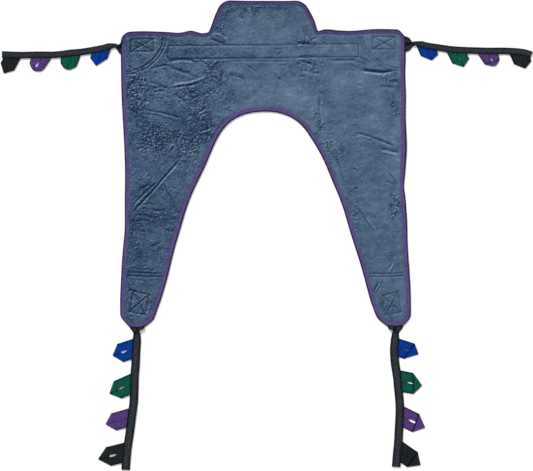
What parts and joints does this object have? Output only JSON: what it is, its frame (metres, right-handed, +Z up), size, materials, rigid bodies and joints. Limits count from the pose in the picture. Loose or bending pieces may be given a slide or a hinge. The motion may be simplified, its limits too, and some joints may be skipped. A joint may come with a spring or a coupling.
{
  "type": "patient lift sling",
  "caption": "Divided-leg patient-lift sling with head support: padded plush body, bound edge, webbing straps at the shoulders and leg ends, colour-coded attachment loops.",
  "frame": {"origin": "on the surface that the sling lies on, under the middle of the whole sling, straps included", "axes": "+X to the right as seen from above with the head end away, from shoulder strap to shoulder strap; +Y towards the head support; +Z up, out of the plush face"},
  "size_m": [1.6497, 1.4563, 0.0095],
  "materials": {
    "plush": "matte",
    "backing": "matte",
    "padding": "matte",
    "binding": "matte",
    "thread": "matte",
    "webbing": "matte",
    "loop_blue": "matte",
    "loop_green": "matte",
    "loop_purple": "matte",
    "loop_black": "matte"
  },
  "bodies": {
    "torso": {"backing_torso": "backing", "padding_torso": "padding", "face_torso": "plush", "binding_back_left": "binding", "binding_back_right": "binding", "binding_leg_opening": "binding", "cross_webbing": "webbing", "patch_shoulder_left": "backing", "patch_shoulder_right": "backing", "strap_tail_shoulder_left": "webbing", "strap_tail_shoulder_right": "webbing", "stitch_channel": "thread", "stitch_box_shoulder_left": "thread", "stitch_box_shoulder_right": "thread", "stitch_arc_left": "thread", "stitch_arc_right": "thread"},
    "head_support": {"backing_head": "backing", "padding_head": "padding", "face_head": "plush", "binding_head": "binding"},
    "thigh_left": {"backing_thigh_left": "backing", "padding_thigh_left": "padding", "face_thigh_left": "plush", "binding_thigh_left": "binding", "patch_leg_left": "backing", "strap_tail_leg_left": "webbing", "stitch_box_leg_left": "thread", "stitch_seam_leg_left": "thread"},
    "thigh_right": {"backing_thigh_right": "backing", "padding_thigh_right": "padding", "face_thigh_right": "plush", "binding_thigh_right": "binding", "patch_leg_right": "backing", "strap_tail_leg_right": "webbing", "stitch_box_leg_right": "thread", "stitch_seam_leg_right": "thread"},
    "strap_shoulder_left": {"strap_shoulder_left": "webbing"},
    "loop_shoulder_left_blue": {"loop_shoulder_left_blue": "loop_blue"},
    "loop_shoulder_left_green": {"loop_shoulder_left_green": "loop_green"},
    "loop_shoulder_left_purple": {"loop_shoulder_left_purple": "loop_purple"},
    "loop_shoulder_left_black": {"loop_shoulder_left_black": "loop_black"},
    "strap_shoulder_right": {"strap_shoulder_right": "webbing"},
    "loop_shoulder_right_blue": {"loop_shoulder_right_blue": "loop_blue"},
    "loop_shoulder_right_green": {"loop_shoulder_right_green": "loop_green"},
    "loop_shoulder_right_purple": {"loop_shoulder_right_purple": "loop_purple"},
    "loop_shoulder_right_black": {"loop_shoulder_right_black": "loop_black"},
    "strap_leg_left": {"strap_leg_left": "webbing"},
    "loop_leg_left_blue": {"loop_leg_left_blue": "loop_blue"},
    "loop_leg_left_green": {"loop_leg_left_green": "loop_green"},
    "loop_leg_left_purple": {"loop_leg_left_purple": "loop_purple"},
    "loop_leg_left_black": {"loop_leg_left_black": "loop_black"},
    "strap_leg_right": {"strap_leg_right": "webbing"},
    "loop_leg_right_blue": {"loop_leg_right_blue": "loop_blue"},
    "loop_leg_right_green": {"loop_leg_right_green": "loop_green"},
    "loop_leg_right_purple": {"loop_leg_right_purple": "loop_purple"},
    "loop_leg_right_black": {"loop_leg_right_black": "loop_black"}
  },
  "joints": [
    {"name": "head_fold", "type": "hinge", "parent": "torso", "child": "head_support", "pos_m": [0, 0.646, 0.0045], "axis": [1, 0, 0], "range_deg": [-90, 90]},
    {"name": "thigh_left_fold", "type": "hinge", "parent": "torso", "child": "thigh_left", "pos_m": [-0.32, 0.17, 0.0045], "axis": [-1, 0, 0], "range_deg": [-90, 90]},
    {"name": "thigh_right_fold", "type": "hinge", "parent": "torso", "child": "thigh_right", "pos_m": [0.32, 0.17, 0.0045], "axis": [-1, 0, 0], "range_deg": [-90, 90]},
    {"name": "shoulder_left_strap_flex", "type": "hinge", "parent": "torso", "child": "strap_shoulder_left", "pos_m": [-0.444, 0.585, 0.00225], "axis": [0, 1, 0], "range_deg": [-90, 90]},
    {"name": "shoulder_left_blue_loop_flex", "type": "hinge", "parent": "strap_shoulder_left", "child": "loop_shoulder_left_blue", "pos_m": [-0.49963, 0.56257, 0.0015], "axis": [-0.9921, -0.1253, 0], "range_deg": [-90, 90]},
    {"name": "shoulder_left_green_loop_flex", "type": "hinge", "parent": "strap_shoulder_left", "child": "loop_shoulder_left_green", "pos_m": [-0.59396, 0.55023, 0.0015], "axis": [-0.9932, -0.1165, 0], "range_deg": [-90, 90]},
    {"name": "shoulder_left_purple_loop_flex", "type": "hinge", "parent": "strap_shoulder_left", "child": "loop_shoulder_left_purple", "pos_m": [-0.69101, 0.54185, 0.0015], "axis": [-0.9997, -0.0231, 0], "range_deg": [-90, 90]},
    {"name": "shoulder_left_black_loop_flex", "type": "hinge", "parent": "strap_shoulder_left", "child": "loop_shoulder_left_black", "pos_m": [-0.78737, 0.54421, 0.0015], "axis": [-0.9977, 0.0683, 0], "range_deg": [-90, 90]},
    {"name": "shoulder_right_strap_flex", "type": "hinge", "parent": "torso", "child": "strap_shoulder_right", "pos_m": [0.444, 0.591, 0.00225], "axis": [0, -1, 0], "range_deg": [-90, 90]},
    {"name": "shoulder_right_blue_loop_flex", "type": "hinge", "parent": "strap_shoulder_right", "child": "loop_shoulder_right_blue", "pos_m": [0.50001, 0.56938, 0.0015], "axis": [-0.9943, 0.1067, 0], "range_deg": [-90, 90]},
    {"name": "shoulder_right_green_loop_flex", "type": "hinge", "parent": "strap_shoulder_right", "child": "loop_shoulder_right_green", "pos_m": [0.59509, 0.55964, 0.0015], "axis": [-0.9976, 0.0688, 0], "range_deg": [-90, 90]},
    {"name": "shoulder_right_purple_loop_flex", "type": "hinge", "parent": "strap_shoulder_right", "child": "loop_shoulder_right_purple", "pos_m": [0.69165, 0.5549, 0.0015], "axis": [-0.9997, 0.0252, 0], "range_deg": [-90, 90]},
    {"name": "shoulder_right_black_loop_flex", "type": "hinge", "parent": "strap_shoulder_right", "child": "loop_shoulder_right_black", "pos_m": [0.78442, 0.54985, 0.0015], "axis": [-0.988, 0.1544, 0], "range_deg": [-90, 90]},
    {"name": "leg_left_strap_flex", "type": "hinge", "parent": "thigh_left", "child": "strap_leg_left", "pos_m": [-0.394, -0.287, 0.00225], "axis": [-1, 0, 0], "range_deg": [-90, 90]},
    {"name": "leg_left_blue_loop_flex", "type": "hinge", "parent": "strap_leg_left", "child": "loop_leg_left_blue", "pos_m": [-0.41003, -0.35259, 0.0015], "axis": [0.0263, 0.9997, 0], "range_deg": [-90, 90]},
    {"name": "leg_left_green_loop_flex", "type": "hinge", "parent": "strap_leg_left", "child": "loop_leg_left_green", "pos_m": [-0.41566, -0.4608, 0.0015], "axis": [0.0672, 0.9977, 0], "range_deg": [-90, 90]},
    {"name": "leg_left_purple_loop_flex", "type": "hinge", "parent": "strap_leg_left", "child": "loop_leg_left_purple", "pos_m": [-0.42555, -0.56867, 0.0015], "axis": [0.1104, 0.9939, 0], "range_deg": [-90, 90]},
    {"name": "leg_left_black_loop_flex", "type": "hinge", "parent": "strap_leg_left", "child": "loop_leg_left_black", "pos_m": [-0.43856, -0.6772, 0.0015], "axis": [0.0898, 0.996, 0], "range_deg": [-90, 90]},
    {"name": "leg_right_strap_flex", "type": "hinge", "parent": "thigh_right", "child": "strap_leg_right", "pos_m": [0.405, -0.287, 0.00225], "axis": [-1, 0, 0], "range_deg": [-90, 90]},
    {"name": "leg_right_blue_loop_flex", "type": "hinge", "parent": "strap_leg_right", "child": "loop_leg_right_blue", "pos_m": [0.41916, -0.35285, 0.0015], "axis": [0.0088, -1, 0], "range_deg": [-90, 90]},
    {"name": "leg_right_green_loop_flex", "type": "hinge", "parent": "strap_leg_right", "child": "loop_leg_right_green", "pos_m": [0.42888, -0.45986, 0.0015], "axis": [0.1049, -0.9945, 0], "range_deg": [-90, 90]},
    {"name": "leg_right_purple_loop_flex", "type": "hinge", "parent": "strap_leg_right", "child": "loop_leg_right_purple", "pos_m": [0.43676, -0.57027, 0.0015], "axis": [-0.0086, -1, 0], "range_deg": [-90, 90]},
    {"name": "leg_right_black_loop_flex", "type": "hinge", "parent": "strap_leg_right", "child": "loop_leg_right_black", "pos_m": [0.42938, -0.68056, 0.0015], "axis": [-0.1107, -0.9939, 0], "range_deg": [-90, 90]}
  ]
}
